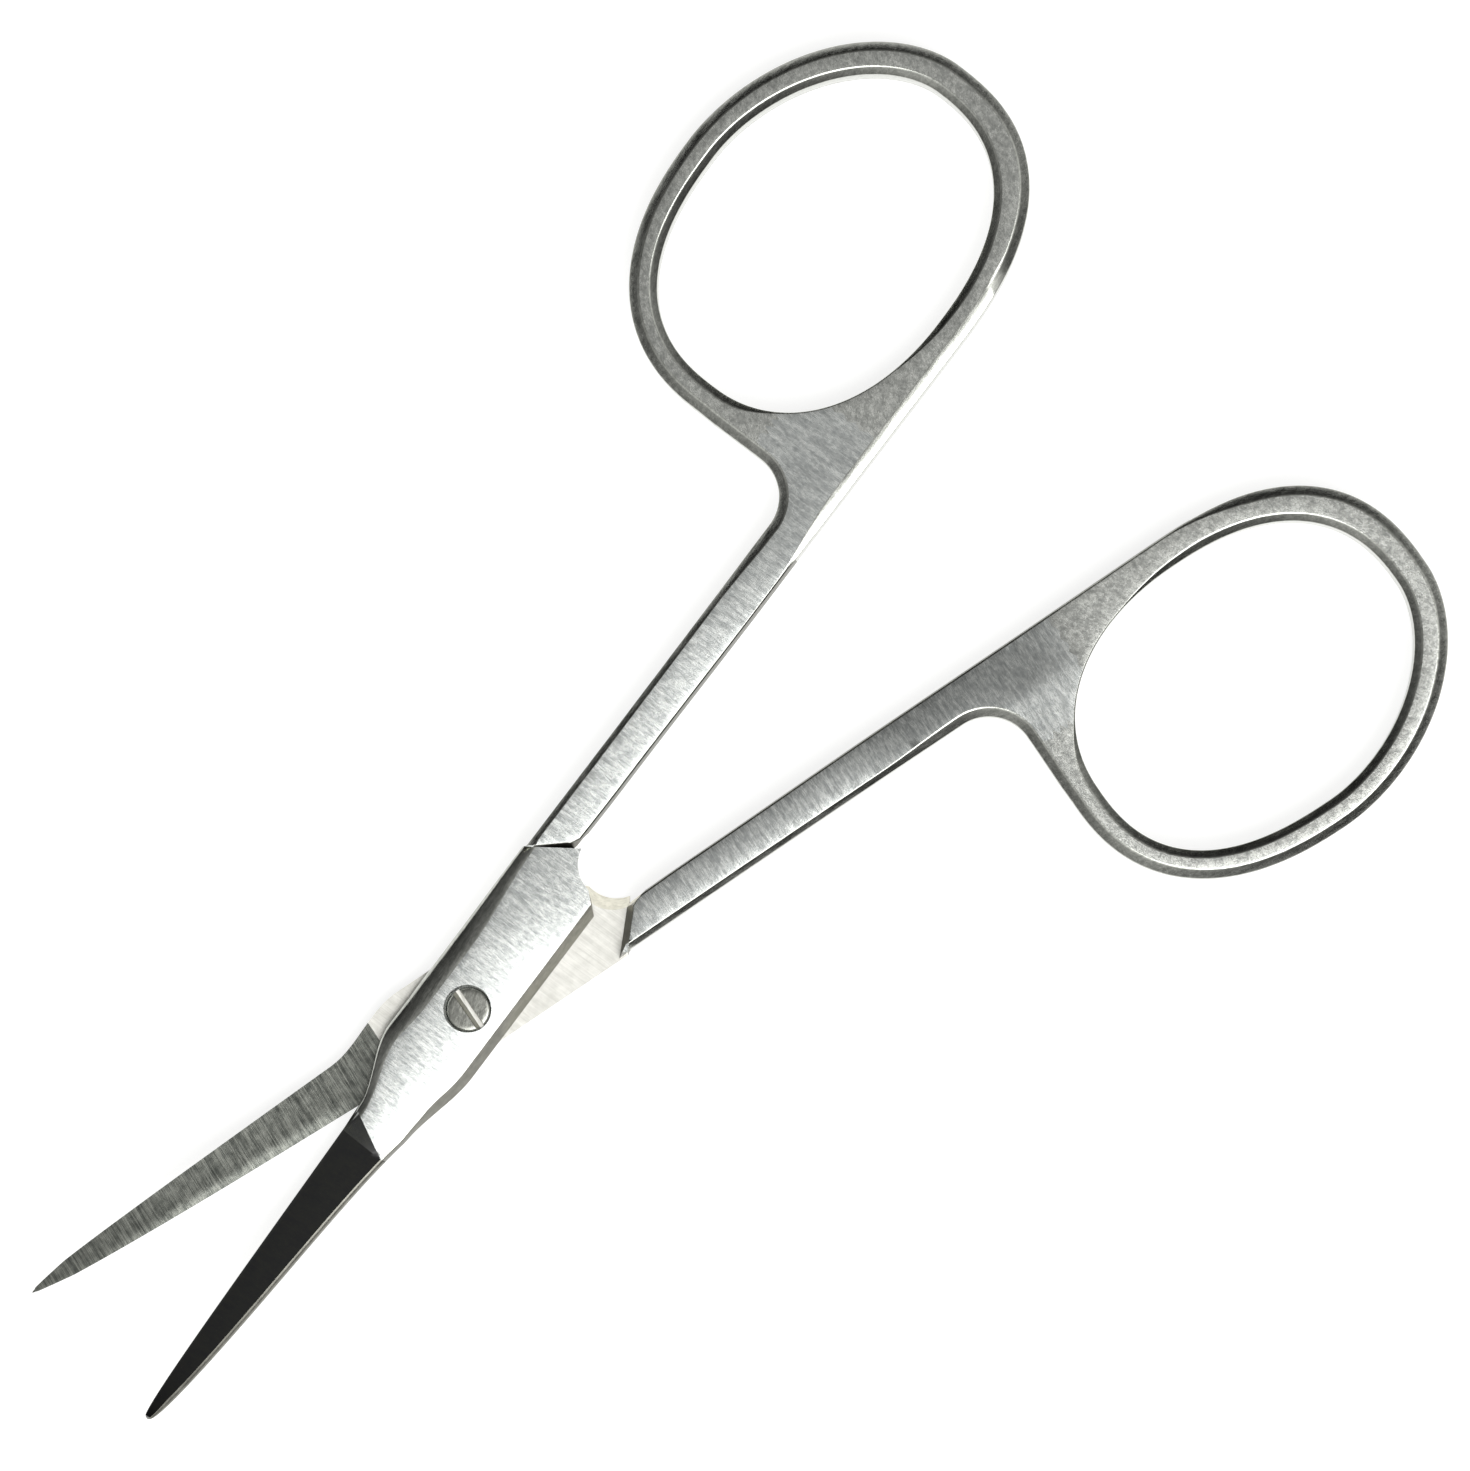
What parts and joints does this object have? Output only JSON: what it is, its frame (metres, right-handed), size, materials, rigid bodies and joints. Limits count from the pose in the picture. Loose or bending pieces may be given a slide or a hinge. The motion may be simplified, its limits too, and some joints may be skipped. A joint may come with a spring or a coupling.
{
  "type": "cuticle scissors",
  "caption": "Fine curved-blade cuticle scissors: steel halves with finger rings that open and shut on a slotted pivot screw.",
  "frame": {"origin": "on the pivot screw's axis, at the flat underside of the lower joint block, 0.2 mm above the plane that the shanks and rings lie on", "axes": "+Z along the pivot axis towards the slotted head; +X along the scissors from the blade tips to the finger rings, halfway between the two halves; +Y towards the upper half's ring"},
  "size_m": [0.0867, 0.0547, 0.0074],
  "materials": {
    "satin_steel": "cross-brushed satin with mirror-ground outer blade faces",
    "screw_steel": "turned and lightly polished"
  },
  "bodies": {
    "lower": {"lower_half": "satin_steel", "pivot_screw": "screw_steel"},
    "upper": {"upper_half": "satin_steel"}
  },
  "joints": [
    {"name": "blade_pivot", "type": "hinge", "parent": "lower", "child": "upper", "pos_m": [0, 0, 0.0013], "axis": [0, 0, 1], "range_deg": [-18.6, 71]}
  ]
}
